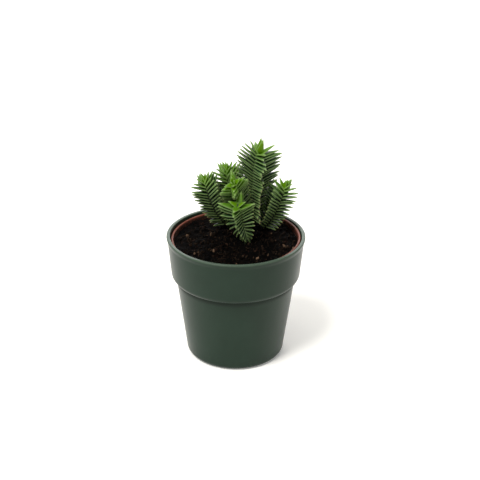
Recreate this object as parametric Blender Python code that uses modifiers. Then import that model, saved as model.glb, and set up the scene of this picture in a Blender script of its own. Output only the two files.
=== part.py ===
"""A potted crassula: a clump of shoots with four ranks of fleshy leaves, rooted in peat in a thin
nursery pot, which stands inside a plastic cover pot.

Metres, +Z up. The origin is the centre of the cover pot's base, on the surface that it stands on.
"""

import math
import random
from collections import namedtuple

import bmesh
import bpy
from mathutils import Euler, Matrix, Vector, noise
from mathutils.bvhtree import BVHTree
from mathutils.geometry import interpolate_bezier

MM = 0.001
GAP = 0.3 * MM  # between pieces that touch
ROUND_STEPS = 36  # the sides of a turned piece
HOLE_SIDES = 10

# The cover pot, outside sizes. Inside its lip is a wider ring, where the nursery pot's rim lies.
COVER_HEIGHT = 91.3 * MM
COVER_BASE_R = 35.6 * MM
COVER_BASE_ROUND = 4.0 * MM
COVER_BODY_TOP_R = 42.7 * MM
COVER_WALL = 2.0 * MM
BAND_BOTTOM_Z = 59.7 * MM
BAND_SHOULDER = 4.2 * MM
BAND_BOTTOM_R = 46.1 * MM
BAND_TOP_R = 48.2 * MM
LIP_HEIGHT = 4.4 * MM
LIP_R = 49.0 * MM
LIP_ROUND = 0.6 * MM
LIP_INNER_R = 46.4 * MM
LIP_RING_DEPTH = 4.0 * MM
FLOOR_THICKNESS = 2.6 * MM
FOOT_WIDTH = 5.0 * MM
FOOT_RECESS = 1.0 * MM

# The nursery pot, measured down from the middle of its rim. It leans a little, higher at the right
# and the back, and stands on the cover pot's floor on the low edge of its base.
NURSERY_RIM_R = 45.8 * MM
NURSERY_RIM_WIDTH = 1.7 * MM
NURSERY_RIM_ROUND = 0.7 * MM
NURSERY_RIM_DROP = 1.8 * MM
NURSERY_TOP_R = 45.0 * MM
NURSERY_BASE_R = 28.2 * MM
NURSERY_WALL = 0.9 * MM
NURSERY_RIM_Z = 89.6 * MM
NURSERY_SHIFT = (-0.1 * MM, 0.1 * MM)
NURSERY_LEAN = (math.radians(0.7), math.radians(-1.2))
NURSERY_LOW_EDGE = NURSERY_BASE_R * math.sin(math.hypot(*NURSERY_LEAN))
NURSERY_HEIGHT = NURSERY_RIM_Z - FLOOR_THICKNESS - GAP - NURSERY_LOW_EDGE
NURSERY_TURN = Euler((*NURSERY_LEAN, 0.0)).to_matrix().to_4x4()
NURSERY_PLACE = Matrix.Translation((*NURSERY_SHIFT, NURSERY_RIM_Z)) @ NURSERY_TURN
DRAIN_HOLES = 5
DRAIN_HOLE_R = 3.5 * MM
DRAIN_RING_R = 20.0 * MM

# The peat, whose top is measured from the nursery pot's rim.
SOIL_DEPTH = 3.0 * MM
SOIL_Z = NURSERY_RIM_Z - SOIL_DEPTH
SOIL_SIDE_GAP = 0.4 * MM
SOIL_EDGE = 3.0 * MM
SOIL_RINGS = 8
MOUND_CENTRE = (14 * MM, 17 * MM)
MOUND_HEIGHT = 1.6 * MM
MOUND_SPREAD = 14 * MM
LUMP_SIZE = 7.0 * MM
LUMP_HEIGHT = 1.4 * MM
FINE_LUMPS = 2.3  # times finer, and half as high

# The crassula's stems and leaves.
ROOT_DEPTH = 10 * MM
ROOT_R = 2.0 * MM
ROOT_STRAIGHT = 3.2 * MM  # how far a stem rises straight above the peat
CORE_R = 3.2 * MM  # the stem with the leaf bases that sheathe it
CORE_TIP_R = 0.9 * MM
CORE_TAPER = 9 * MM
CORE_POINTS = 9
CORE_SWELLS_IN = 2  # points above the root
STEM_SAMPLES = 90
SHORT_LEAF_WIDTH = 0.5  # the share of the width that doesn't shrink with the length
LEAF_THICKNESS = 1.9 * MM
BUD_THICKNESS = 0.4  # the share of the thickness that the youngest leaves have
TIP_THINNING = 0.25  # the share of the thickness that is gone at the tip
ABOVE_MIDDLE = 0.4  # the share of the thickness over the blade's middle line
LEAF_ROOT = 1.9 * MM  # a full leaf starts this far from the stem's middle
FIRST_PAIR = 0.6 * MM  # below the apex
BUD_STEP = 0.4  # the height of the youngest pair, as a share of a full one
BUD_STEP_GROWS = 0.15  # a pair
BUD_ANGLE = math.radians(82)
LOW_LEAVES_FROM = 5 * MM  # below the apex
LEAF_DROOP = 4  # how far a blade curves down by its tip, in degrees, under the bud and lowest down
LOW_LEAF_DROOP = 30
TURN_SPREAD = 4  # degrees to either side
RISE_SPREAD = 3  # degrees up or down
LENGTH_SPREAD = (0.94, 1.05)
SEED = 11
LEAF_CLEARANCE = 0.3 * MM
LEAF_SHARES = (1.0, 0.88, 0.76, 0.64, 0.52, 0.4)
LEAF_BENDS = (
    (0, 0), (6, 0), (-6, 0), (0, 7), (0, -7), (12, 0), (-12, 0), (8, 10), (8, -10), (20, 0), (28, 0)
)
SHORTEST_LEAF = 4.0 * MM
RIM_CLEARANCE = 4.0 * MM

# root and apex: where a stem leaves the peat and where its youngest pair sits, in millimetres.
# rise and reach: how it leaves its root and how it comes to its apex, in millimetres.
# turns and ranks: where the leaves of each rank point, and how far they rise from square to the
# stem, in degrees. falls: how much less the lowest ones rise.
# leaf, width and step: a full leaf's length and width and the height of a pair, in millimetres.
# bud: the youngest leaves' length, as a share of a full one's. short: the lowest ones'.
# grows and opens: the pairs in which the bud's leaves grow and open.
# bare: the share of the stem with no leaves.
Shoot = namedtuple(
    "Shoot", "name root apex rise reach turns ranks falls leaf width step bud short grows opens bare"
)

SHOOTS = (
    Shoot(
        "shoot_front", root=(7.2, -4.5), apex=(1.0, -4.5, 115.8), rise=(-0.4, 1, 5), reach=(0.5, -4.5, 12),
        turns=(-107, -20, 73, 163), ranks=(18, 34, 18, 14), falls=(100, 110, 60, 96),
        leaf=12.6, width=6.2, step=1.1, bud=0.3, short=0.3, grows=2.5, opens=0.8, bare=0.0,
    ),
    Shoot(
        "shoot_main", root=(13.1, 22), apex=(15.8, 17, 146.5), rise=(0, 0, 38), reach=(2.2, 0, 12),
        turns=(-77, 17, 104, 196), ranks=(18, 22, 14, 40), falls=(0, 0, 0, 0),
        leaf=17.6, width=6.8, step=1.1, bud=0.64, short=0.8, grows=8, opens=0.8, bare=0.08,
    ),
    Shoot(
        "shoot_right", root=(20.3, 18), apex=(33.8, 8, 124.1), rise=(6.5, -3, 9), reach=(4.5, -1.5, 15),
        turns=(-140, -40, 60, 140), ranks=(36, 38, 30, 5), falls=(0, 4, 0, 0),
        leaf=13.6, width=5.8, step=1.3, bud=0.5, short=0.5, grows=6, opens=1.5, bare=0.0,
    ),
    Shoot(
        "shoot_left", root=(-5, 20), apex=(-21.8, 8, 128.0), rise=(-7, -2, 5), reach=(-3.5, -2.5, 16),
        turns=(-145, -32, 46, 125), ranks=(38, 45, 46, 34), falls=(-16, 20, 10, 0),
        leaf=13.6, width=6.0, step=1.28, bud=0.5, short=0.55, grows=8, opens=2.0, bare=0.05,
    ),
    Shoot(
        "shoot_centre", root=(4, 14), apex=(-2.3, 3, 128.5), rise=(-1, -2, 16), reach=(-2, -8, 8),
        turns=(-152, -88, 14, 88), ranks=(24, 26, 34, 36), falls=(0, 0, 0, 0),
        leaf=10.8, width=5.6, step=1.15, bud=0.45, short=0.8, grows=5, opens=1.4, bare=0.35,
    ),
    Shoot(
        "shoot_back", root=(0, 28), apex=(-6.4, 22, 130.5), rise=(-1, 0, 16), reach=(-1.4, 0.7, 14),
        turns=(-60, 30, 120, 210), ranks=(34, 34, 34, 34), falls=(0, 0, 0, 0),
        leaf=14.0, width=5.4, step=1.25, bud=0.5, short=0.9, grows=6, opens=2.4, bare=0.15,
    ),
)


def make_collection(name, parent=None):
    """A new collection, in the scene or inside another."""
    collection = bpy.data.collections.new(name)
    (parent or bpy.context.scene.collection).children.link(collection)
    return collection


def make_material(name, colour, roughness):
    material = bpy.data.materials.new(name)
    material.use_nodes = True
    shader = material.node_tree.nodes["Principled BSDF"]
    shader.inputs["Base Color"].default_value = (*colour, 1.0)
    shader.inputs["Roughness"].default_value = roughness
    shader.inputs["Metallic"].default_value = 0.0
    material.diffuse_color = (*colour, 1.0)
    return material


def add_object(name, mesh, collection, material=None):
    obj = bpy.data.objects.new(name, mesh)
    collection.objects.link(obj)
    if material is not None:
        mesh.materials.append(material)
    return obj


def arc(centre_r, centre_z, radius_r, radius_z, start, end, steps):
    """Points (r, z) along part of an ellipse, with its angles in degrees."""
    turns = [math.radians(start + (end - start) * i / steps) for i in range(steps + 1)]
    return [(centre_r + radius_r * math.cos(a), centre_z + radius_z * math.sin(a)) for a in turns]


def turned(name, profile, collection, material):
    """A body turned round Z from (r, z) points that run from the axis, up the inside, over the rim,
    down the outside and back to the axis."""
    mesh = bpy.data.meshes.new(name)
    points = [(r, 0.0, z) for r, z in profile]
    mesh.from_pydata(points, [(i, i + 1) for i in range(len(points) - 1)], [])
    obj = add_object(name, mesh, collection, material)
    screw = obj.modifiers.new("turn", "SCREW")
    screw.steps = ROUND_STEPS
    screw.render_steps = ROUND_STEPS
    screw.use_merge_vertices = True
    screw.merge_threshold = 0.00001
    screw.use_smooth_shade = True
    return obj


def bake(obj):
    """Replaces an object's modifiers by the mesh that they make."""
    graph = bpy.context.evaluated_depsgraph_get()
    graph.update()
    mesh = bpy.data.meshes.new_from_object(obj.evaluated_get(graph))
    obj.modifiers.clear()
    obj.data = mesh


def add_cutter(name, radius, bottom, top, place, collection):
    bm = bmesh.new()
    bmesh.ops.create_cone(
        bm, cap_ends=True, segments=HOLE_SIDES, radius1=radius, radius2=radius, depth=top - bottom
    )
    mesh = bpy.data.meshes.new(name)
    bm.to_mesh(mesh)
    bm.free()
    cutter = add_object(name, mesh, collection)
    cutter.location = (place[0], place[1], (top + bottom) / 2)
    cutter.hide_render = True
    cutter.display_type = "WIRE"
    return cutter


def cut(obj, cutters):
    boolean = obj.modifiers.new("cut", "BOOLEAN")
    boolean.operation = "DIFFERENCE"
    boolean.operand_type = "COLLECTION"
    boolean.collection = cutters
    boolean.solver = "EXACT"


def lip_flare(steps):
    """The flare between the band and the lip, from its top down."""
    bottom = COVER_HEIGHT - LIP_HEIGHT
    height = LIP_HEIGHT - LIP_ROUND
    shares = [1 - i / steps for i in range(steps + 1)]
    widths = [share * share * (3 - 2 * share) for share in shares]
    return [
        (BAND_TOP_R + (LIP_R - BAND_TOP_R) * width, bottom + height * share)
        for share, width in zip(shares, widths)
    ]


def band_shoulder(steps):
    """The rounded step from the band in to the body, from its top down."""
    top = BAND_BOTTOM_Z + BAND_SHOULDER
    return arc(COVER_BODY_TOP_R, top, BAND_BOTTOM_R - COVER_BODY_TOP_R, BAND_SHOULDER, 0, -90, steps)


def make_cover_pot(collection, material):
    inside = [(r - COVER_WALL, z) for r, z in reversed(band_shoulder(2))]
    inside += [
        (BAND_TOP_R - COVER_WALL, COVER_HEIGHT - LIP_HEIGHT),
        (LIP_INNER_R, COVER_HEIGHT - LIP_RING_DEPTH),
    ]
    outside = lip_flare(3)[1:] + band_shoulder(4)
    round_z = COVER_HEIGHT - LIP_ROUND
    lip_top = arc(LIP_INNER_R + LIP_ROUND, round_z, LIP_ROUND, LIP_ROUND, 180, 90, 2)
    lip_top += arc(LIP_R - LIP_ROUND, round_z, LIP_ROUND, LIP_ROUND, 90, 0, 2)
    base_r = COVER_BASE_R - COVER_BASE_ROUND
    base_round = arc(base_r, COVER_BASE_ROUND, COVER_BASE_ROUND, COVER_BASE_ROUND, 0, -90, 3)
    foot_r = base_r - FOOT_WIDTH
    profile = [(0.0, FLOOR_THICKNESS), (COVER_BASE_R - COVER_WALL, FLOOR_THICKNESS)]
    profile += inside + lip_top + outside + base_round
    profile += [(foot_r, 0.0), (foot_r - FOOT_RECESS, FOOT_RECESS), (0.0, FOOT_RECESS)]
    turned("cover_pot", profile, collection, material)


def make_nursery_frame(collection):
    """An empty at the middle of the nursery pot's rim, which carries the pot and the peat."""
    frame = bpy.data.objects.new("nursery_frame", None)
    collection.objects.link(frame)
    frame.location = NURSERY_PLACE.translation
    frame.rotation_euler = NURSERY_PLACE.to_euler()
    return frame


def nursery_wall_r(below_rim):
    """The nursery pot's outside radius this far below its rim."""
    return NURSERY_TOP_R + (NURSERY_BASE_R - NURSERY_TOP_R) * below_rim / NURSERY_HEIGHT


def make_nursery_pot(collection, cutters, frame, material):
    floor_z = NURSERY_WALL - NURSERY_HEIGHT
    rim_middle = NURSERY_RIM_R - NURSERY_RIM_WIDTH / 2
    under_rim = nursery_wall_r(NURSERY_RIM_DROP)
    profile = [
        (0.0, floor_z),
        (NURSERY_BASE_R - NURSERY_WALL, floor_z),
        (under_rim - NURSERY_WALL, -NURSERY_RIM_DROP),
    ]
    profile += arc(rim_middle, -NURSERY_RIM_ROUND, NURSERY_RIM_WIDTH / 2, NURSERY_RIM_ROUND, 180, 0, 4)
    profile += [
        (NURSERY_RIM_R, -NURSERY_RIM_DROP),
        (under_rim, -NURSERY_RIM_DROP - NURSERY_RIM_ROUND),
        (NURSERY_BASE_R, -NURSERY_HEIGHT),
        (0.0, -NURSERY_HEIGHT),
    ]
    pot = turned("nursery_pot", profile, collection, material)
    pot.parent = frame
    holes = make_collection("drain_holes", cutters)
    for i in range(DRAIN_HOLES):
        turn = 2 * math.pi * i / DRAIN_HOLES
        place = (DRAIN_RING_R * math.cos(turn), DRAIN_RING_R * math.sin(turn))
        name = f"drain_hole_{i}"
        hole = add_cutter(name, DRAIN_HOLE_R, -NURSERY_HEIGHT - 1 * MM, floor_z + 1 * MM, place, holes)
        hole.parent = frame
    cut(pot, holes)


def soil_relief(x, y):
    """The height of the peat above its level, at a place in the nursery pot's own frame."""
    distance = math.hypot(x - MOUND_CENTRE[0], y - MOUND_CENTRE[1])
    mound = MOUND_HEIGHT * math.exp(-((distance / MOUND_SPREAD) ** 2))
    at = Vector((x, y, 0.0)) / LUMP_SIZE
    return mound + LUMP_HEIGHT * (noise.noise(at) + 0.5 * noise.noise(at * FINE_LUMPS))


def height_over_soil(at):
    own = NURSERY_PLACE.inverted() @ at
    return own.z + SOIL_DEPTH - soil_relief(own.x, own.y)


def make_soil(collection, cutters, frame, material):
    """Peat that fills the nursery pot, with a lumpy top and a plain hole for each stem."""
    bottom = NURSERY_WALL - NURSERY_HEIGHT + GAP
    top_r = nursery_wall_r(SOIL_DEPTH) - NURSERY_WALL - SOIL_SIDE_GAP
    edge_r = nursery_wall_r(SOIL_DEPTH + SOIL_EDGE) - NURSERY_WALL - SOIL_SIDE_GAP
    bottom_r = NURSERY_BASE_R - NURSERY_WALL - SOIL_SIDE_GAP
    profile = [(bottom_r, bottom), (edge_r, -SOIL_DEPTH - SOIL_EDGE)]
    profile += [(top_r * i / SOIL_RINGS, -SOIL_DEPTH) for i in range(SOIL_RINGS, -1, -1)]
    profile = list(reversed([(0.0, bottom)] + profile))
    soil = turned("soil", profile, collection, material)
    bake(soil)
    for vertex in soil.data.vertices:
        if vertex.co.z > -SOIL_DEPTH - 0.5 * SOIL_EDGE:
            vertex.co.z = soil_relief(vertex.co.x, vertex.co.y) - SOIL_DEPTH
    soil.parent = frame
    holes = make_collection("root_holes", cutters)
    for shoot in SHOOTS:
        place = (shoot.root[0] * MM, shoot.root[1] * MM)
        name = "hole_for_" + shoot.name
        hole_bottom = SOIL_Z - ROOT_DEPTH - GAP
        add_cutter(name, ROOT_R + GAP, hole_bottom, SOIL_Z + ROOT_STRAIGHT, place, holes)
    cut(soil, holes)


def lengths_left(line):
    """The way from each point of a line to its end."""
    left = [0.0]
    for ahead, behind in zip(reversed(line[1:]), reversed(line[:-1])):
        left.append(left[-1] + (ahead - behind).length)
    return list(reversed(left))


def stem_line(shoot, count):
    """Points along a stem, from the end of its straight root to its apex."""
    start = Vector((shoot.root[0] * MM, shoot.root[1] * MM, SOIL_Z + ROOT_STRAIGHT))
    end = Vector(shoot.apex) * MM
    first = start + Vector(shoot.rise) * MM
    return interpolate_bezier(start, first, end - Vector(shoot.reach) * MM, end, count)


def make_core(shoot, collection, material):
    """The stem, which narrows into the bud, as a closed mesh."""
    line = stem_line(shoot, CORE_POINTS)
    points = [(Vector((line[0].x, line[0].y, SOIL_Z - ROOT_DEPTH)), ROOT_R)]
    for i, (at, left) in enumerate(zip(line, lengths_left(line))):
        full = ROOT_R + (CORE_R - ROOT_R) * min(1.0, i / CORE_SWELLS_IN)
        points.append((at, CORE_TIP_R + (full - CORE_TIP_R) * math.sqrt(min(1.0, left / CORE_TAPER))))
    curve = bpy.data.curves.new(shoot.name, "CURVE")
    curve.dimensions = "3D"
    curve.bevel_depth = 1.0
    curve.bevel_resolution = 1
    curve.use_fill_caps = True
    spline = curve.splines.new("POLY")
    spline.points.add(len(points) - 1)
    for point, (at, radius) in zip(spline.points, points):
        point.co = (*at, 1.0)
        point.radius = radius
    tube = add_object("stem_curve", curve, collection)
    graph = bpy.context.evaluated_depsgraph_get()
    mesh = bpy.data.meshes.new_from_object(tube.evaluated_get(graph))
    bpy.data.objects.remove(tube)
    bm = bmesh.new()
    bm.from_mesh(mesh)
    bmesh.ops.remove_doubles(bm, verts=bm.verts, dist=0.00001)
    bm.to_mesh(mesh)
    bm.free()
    return add_object(shoot.name, mesh, collection, material)


def leaf_outline(along):
    """A leaf's width at a share of its length, as a share of its widest."""
    return min(1.0, 0.88 + 1.2 * along) * (1 - along**1.45)


def leaf_body(root, out, up, length, width, thickness, angle, droop, swell=0.0):
    """A fleshy blade as a closed bmesh: nearly flat above, keeled below and pointed, made from a
    sphere with four meridians. out and up are the stem's directions at the leaf, angle is the
    blade's rise from out, and droop is what it loses of it by its tip."""
    side = up.cross(out)
    bm = bmesh.new()
    bmesh.ops.create_uvsphere(bm, u_segments=4, v_segments=3, radius=1.0)
    for vertex in bm.verts:
        along = (0.5 + vertex.co.z / 2) ** 1.25  # the wider ring lies nearer to the root
        bend = angle - droop * along
        forward = out * math.cos(bend) + up * math.sin(bend)
        lift = up * math.cos(bend) - out * math.sin(bend)
        chord = angle - droop * along / 2
        centre = root + (out * math.cos(chord) + up * math.sin(chord)) * length * along
        if vertex.co.xy.length < 0.01:
            vertex.co = centre + forward * (swell if along > 0.5 else -swell)
            continue
        ring = vertex.co.xy.normalized()
        half_width = width / 2 * leaf_outline(along) + swell
        depth_share = ABOVE_MIDDLE if ring.y > 0 else 1 - ABOVE_MIDDLE
        depth = thickness * (1 - TIP_THINNING * along) * depth_share + swell
        vertex.co = centre + side * ring.x * half_width + lift * ring.y * depth
    return bm


def leaf_tries():
    """Ways to bend a leaf clear of a neighbour, mildest first: a share of its length, and how far it
    is lifted and turned aside, in degrees."""
    for share in LEAF_SHARES:
        for lift, aside in LEAF_BENDS:
            yield share, math.radians(lift), math.radians(aside)


def is_clear(bm, neighbours):
    """True if a blade is off the peat and the pots' rims, and crosses no neighbour."""
    for vertex in bm.verts:
        near_rim = vertex.co.z < COVER_HEIGHT and vertex.co.xy.length > NURSERY_TOP_R - RIM_CLEARANCE
        if near_rim or height_over_soil(vertex.co) < LEAF_CLEARANCE:
            return False
    tree = BVHTree.FromBMesh(bm)
    return not any(tree.overlap(other) for other in neighbours)


def stem_frames(shoot):
    """(point, direction, reference, way left to the apex) along a stem, with no twist in the
    reference."""
    line = stem_line(shoot, STEM_SAMPLES)
    reference = Vector((1, 0, 0))
    frames = []
    for i, (at, left) in enumerate(zip(line, lengths_left(line))):
        up = (line[min(i + 1, len(line) - 1)] - line[max(i - 1, 0)]).normalized()
        reference = (reference - up * reference.dot(up)).normalized()
        frames.append((at, up, reference, left))
    return frames


def leaf_pairs(shoot):
    """The pairs of a shoot from the bud down: (index, point, direction, reference, share of the way
    down)."""
    frames = stem_frames(shoot)
    lowest = frames[0][3] * (1 - shoot.bare)
    down = FIRST_PAIR
    index = 0
    while down < lowest:
        at, up, reference, _ = min(frames, key=lambda frame: abs(frame[3] - down))
        low = max(0.0, (down - LOW_LEAVES_FROM) / (lowest - LOW_LEAVES_FROM))
        yield index, at, up, reference, low
        down += shoot.step * MM * min(1.0, BUD_STEP + BUD_STEP_GROWS * index)
        index += 1


def make_leaves(shoot, neighbours, rng):
    """The blades of a shoot, each as a bmesh, set in crossed pairs."""
    blades = []
    for index, at, up, reference, low in leaf_pairs(shoot):
        grown = min(1.0, shoot.bud + (1 - shoot.bud) * index / shoot.grows)
        full_length = shoot.leaf * MM * grown * (1 + (shoot.short - 1) * low)
        length_share = full_length / (shoot.leaf * MM)
        width = shoot.width * MM * (SHORT_LEAF_WIDTH + (1 - SHORT_LEAF_WIDTH) * length_share)
        thickness = LEAF_THICKNESS * (BUD_THICKNESS + (1 - BUD_THICKNESS) * grown)
        root_share = grown * grown
        droop = math.radians(LEAF_DROOP + (LOW_LEAF_DROOP - LEAF_DROOP) * low**3)
        for half in range(2):
            rank = (index + 2 * half) % 4
            opened = math.radians(shoot.ranks[rank] - shoot.falls[rank] * low**1.5)
            angle = opened + (BUD_ANGLE - opened) * math.exp(-index / shoot.opens)
            turn = shoot.turns[rank] + rng.uniform(-TURN_SPREAD, TURN_SPREAD)
            length = full_length * rng.uniform(*LENGTH_SPREAD)
            rise = angle + math.radians(rng.uniform(-RISE_SPREAD, RISE_SPREAD))
            for share, lift, aside in leaf_tries():
                out = Matrix.Rotation(math.radians(turn) + aside, 3, up) @ reference
                root = at + out * LEAF_ROOT * root_share
                shape = (root, out, up, length * share, width, thickness, rise + lift, droop)
                swollen = leaf_body(*shape, swell=LEAF_CLEARANCE)
                clear = is_clear(swollen, neighbours)
                swollen.free()
                if clear and length * share > SHORTEST_LEAF:
                    blades.append(leaf_body(*shape))
                    break
    return blades


def tree_of(bodies):
    """One search tree over several bmeshes."""
    points = []
    faces = []
    for bm in bodies:
        first = len(points)
        bm.verts.index_update()
        points += [vertex.co.copy() for vertex in bm.verts]
        faces += [[first + vertex.index for vertex in face.verts] for face in bm.faces]
    return BVHTree.FromPolygons(points, faces)


def core_body(core, swell=0.0):
    bm = bmesh.new()
    bm.from_mesh(core.data)
    bm.normal_update()
    for vertex in bm.verts:
        vertex.co += vertex.normal * swell
    return bm


def keep_outer_skin(mesh):
    """Fills the hollows that crossing leaves seal off: only the largest connected surface stays."""
    bm = bmesh.new()
    bm.from_mesh(mesh)
    skins = []
    unseen = set(bm.faces)
    while unseen:
        skin = [unseen.pop()]
        for face in skin:
            beside = {other for edge in face.edges for other in edge.link_faces} & unseen
            unseen -= beside
            skin += beside
        skins.append(skin)
    largest = max(skins, key=len)
    inner = [face for skin in skins if skin is not largest for face in skin]
    bmesh.ops.delete(bm, geom=inner, context="FACES")
    bm.to_mesh(mesh)
    bm.free()


def fuse(core, blades):
    """Joins a shoot's blades to its stem in one solid."""
    pieces = make_collection("blades")
    for i, bm in enumerate(blades):
        mesh = bpy.data.meshes.new(f"blade_{i}")
        bm.to_mesh(mesh)
        add_object(f"blade_{i}", mesh, pieces)
    union = core.modifiers.new("union", "BOOLEAN")
    union.operation = "UNION"
    union.operand_type = "COLLECTION"
    union.collection = pieces
    union.solver = "MANIFOLD"
    bake(core)
    keep_outer_skin(core.data)
    for piece in list(pieces.objects):
        bpy.data.objects.remove(piece)
    bpy.data.collections.remove(pieces)


def make_crassula(collection, material):
    """The shoots, each with the leaves that are clear of those already made."""
    cores = [make_core(shoot, collection, material) for shoot in SHOOTS]
    trees = [tree_of([core_body(core, LEAF_CLEARANCE)]) for core in cores]
    for i, (shoot, core) in enumerate(zip(SHOOTS, cores)):
        blades = make_leaves(shoot, trees[:i] + trees[i + 1 :], random.Random(i + SEED))
        trees[i] = tree_of([core_body(core), *blades])
        fuse(core, blades)
        for bm in blades:
            bm.free()


def main():
    for obj in list(bpy.data.objects):
        bpy.data.objects.remove(obj)
    plant = make_collection("potted_crassula")
    cutters = make_collection("cutters")
    cutters.hide_render = True
    green_plastic = make_material("dark_green_plastic", (0.052, 0.080, 0.066), 0.45)
    terracotta_plastic = make_material("terracotta_plastic", (0.42, 0.15, 0.09), 0.5)
    peat = make_material("peat", (0.020, 0.013, 0.009), 0.95)
    leaf_green = make_material("leaf_green", (0.10, 0.22, 0.05), 0.45)
    make_cover_pot(plant, green_plastic)
    frame = make_nursery_frame(plant)
    make_nursery_pot(plant, cutters, frame, terracotta_plastic)
    make_soil(plant, cutters, frame, peat)
    make_crassula(plant, leaf_green)


main()
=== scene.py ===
# A potted crassula on a pale studio floor: a plastic cover pot, the nursery pot inside it, the peat,
# and a clump of six leafy shoots. Each piece keeps the form and place of the solid that it replaces.
import math
import random
from collections import namedtuple

import bmesh
import bpy
from mathutils import Euler, Matrix, Vector, noise
from mathutils.bvhtree import BVHTree
from mathutils.geometry import interpolate_bezier


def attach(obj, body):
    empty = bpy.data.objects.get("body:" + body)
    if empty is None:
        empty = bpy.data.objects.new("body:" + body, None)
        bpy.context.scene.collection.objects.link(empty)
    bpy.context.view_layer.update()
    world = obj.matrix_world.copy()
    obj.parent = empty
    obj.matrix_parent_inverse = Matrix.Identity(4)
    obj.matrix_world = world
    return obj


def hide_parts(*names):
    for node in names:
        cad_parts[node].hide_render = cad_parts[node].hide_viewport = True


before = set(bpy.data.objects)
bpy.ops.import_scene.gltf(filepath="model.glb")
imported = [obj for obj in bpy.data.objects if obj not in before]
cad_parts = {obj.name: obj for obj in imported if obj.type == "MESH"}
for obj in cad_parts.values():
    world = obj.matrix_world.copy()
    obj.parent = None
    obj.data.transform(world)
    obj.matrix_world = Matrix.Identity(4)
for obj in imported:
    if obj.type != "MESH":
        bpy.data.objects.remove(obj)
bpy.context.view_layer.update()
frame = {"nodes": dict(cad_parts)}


# The cover pot is one injection moulding of dark green polypropylene, with a band round its upper
# third and a flared lip. Its mould was spark-eroded, and that fine, even grain spreads each
# reflection into a soft sheen with no hard highlight.
MM = 0.001
TURN_STEPS = 180
MERGE_WITHIN = 0.01 * MM
SHARP_OVER = math.radians(40)
COVER_HEIGHT = 91.3 * MM
COVER_BASE_R = 35.6 * MM
COVER_BASE_ROUND = 4.0 * MM
COVER_BODY_TOP_R = 42.7 * MM
COVER_WALL = 2.0 * MM
BAND_BOTTOM_Z = 59.7 * MM
BAND_SHOULDER = 4.2 * MM
BAND_BOTTOM_R = 46.1 * MM
BAND_TOP_R = 48.2 * MM
LIP_HEIGHT = 4.4 * MM
LIP_R = 49.0 * MM
LIP_ROUND = 0.6 * MM
LIP_INNER_R = 46.4 * MM
LIP_RING_DEPTH = 4.0 * MM
FLOOR_THICKNESS = 2.6 * MM
FOOT_WIDTH = 5.0 * MM
FOOT_RECESS = 1.0 * MM
LIP_CORNER_STEPS = 6
CURVE_STEPS = 12
HIDDEN_CURVE_STEPS = 10
# The painted shade under the band: its middle and how far it reaches.
CREASE_SHADE_Z = BAND_BOTTOM_Z - 1.5 * MM
CREASE_SHADE_REACH = 3.6 * MM
# How far down from the top the lip's painted highlight reaches.
LIP_HIGHLIGHT_DEPTH = 1.6 * MM


def linear(colour):
    """A #RRGGBB colour in sRGB as linear RGBA."""
    shares = [int(colour[i : i + 2], 16) / 255 for i in (1, 3, 5)]
    return (*(s / 12.92 if s <= 0.04045 else ((s + 0.055) / 1.055) ** 2.4 for s in shares), 1.0)


def add_node(tree, kind, settings=None, inputs=None):
    """Adds a shader node with its own settings, and with a value or a link for each input named."""
    made = tree.nodes.new("ShaderNode" + kind)
    for name, value in (settings or {}).items():
        setattr(made, name, value)
    for name, value in (inputs or {}).items():
        if isinstance(value, bpy.types.NodeSocket):
            tree.links.new(value, made.inputs[name])
        else:
            made.inputs[name].default_value = value
    return made


def new_material(name, **surface):
    """A material with a Principled shader. It returns the material, its node tree and the shader."""
    material = bpy.data.materials.new(name)
    material.use_nodes = True
    shader = material.node_tree.nodes["Principled BSDF"]
    for socket, value in surface.items():
        shader.inputs[socket.replace("_", " ")].default_value = value
    return material, material.node_tree, shader


def per_metre(size_mm):
    """The scale of a texture whose pattern repeats about every size_mm."""
    return 1000 / size_mm


def mixed(tree, share, first, second):
    """The colour socket of a mix from first, at a share of 0, to second, at 1."""
    mix = add_node(tree, "Mix", {"data_type": "RGBA"})
    for name, value in zip((0, 6, 7), (share, first, second)):
        if isinstance(value, bpy.types.NodeSocket):
            tree.links.new(value, mix.inputs[name])
        else:
            mix.inputs[name].default_value = value
    return mix.outputs[2]


def arc(centre_r, centre_z, radius_r, radius_z, start, end, steps):
    """Points (r, z) along part of an ellipse, with its angles in degrees."""
    turns = [math.radians(start + (end - start) * i / steps) for i in range(steps + 1)]
    return [(centre_r + radius_r * math.cos(a), centre_z + radius_z * math.sin(a)) for a in turns]


def turned(name, profile, material):
    """A body turned round Z from (r, z) points that run from the axis, up the inside, over the rim,
    down the outside and back to the axis."""
    mesh = bpy.data.meshes.new(name)
    mesh.from_pydata([(r, 0.0, z) for r, z in profile], [(i, i + 1) for i in range(len(profile) - 1)], [])
    obj = bpy.data.objects.new(name, mesh)
    bpy.context.scene.collection.objects.link(obj)
    screw = obj.modifiers.new("turn", "SCREW")
    screw.steps = TURN_STEPS
    screw.render_steps = TURN_STEPS
    screw.use_merge_vertices = True
    screw.merge_threshold = MERGE_WITHIN
    screw.use_smooth_shade = True
    obj.data = bpy.data.meshes.new_from_object(obj.evaluated_get(bpy.context.evaluated_depsgraph_get()))
    obj.modifiers.clear()
    obj.data.set_sharp_from_angle(angle=SHARP_OVER)
    obj.data.materials.clear()
    obj.data.materials.append(material)
    return obj


def lip_flare(steps):
    """The flare between the band and the lip, from its top down."""
    shares = [1 - i / steps for i in range(steps + 1)]
    return [
        (
            BAND_TOP_R + (LIP_R - BAND_TOP_R) * share * share * (3 - 2 * share),
            COVER_HEIGHT - LIP_HEIGHT + (LIP_HEIGHT - LIP_ROUND) * share,
        )
        for share in shares
    ]


def band_shoulder(steps):
    """The rounded step from the band in to the body, from its top down."""
    top = BAND_BOTTOM_Z + BAND_SHOULDER
    return arc(COVER_BODY_TOP_R, top, BAND_BOTTOM_R - COVER_BODY_TOP_R, BAND_SHOULDER, 0, -90, steps)


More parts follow.
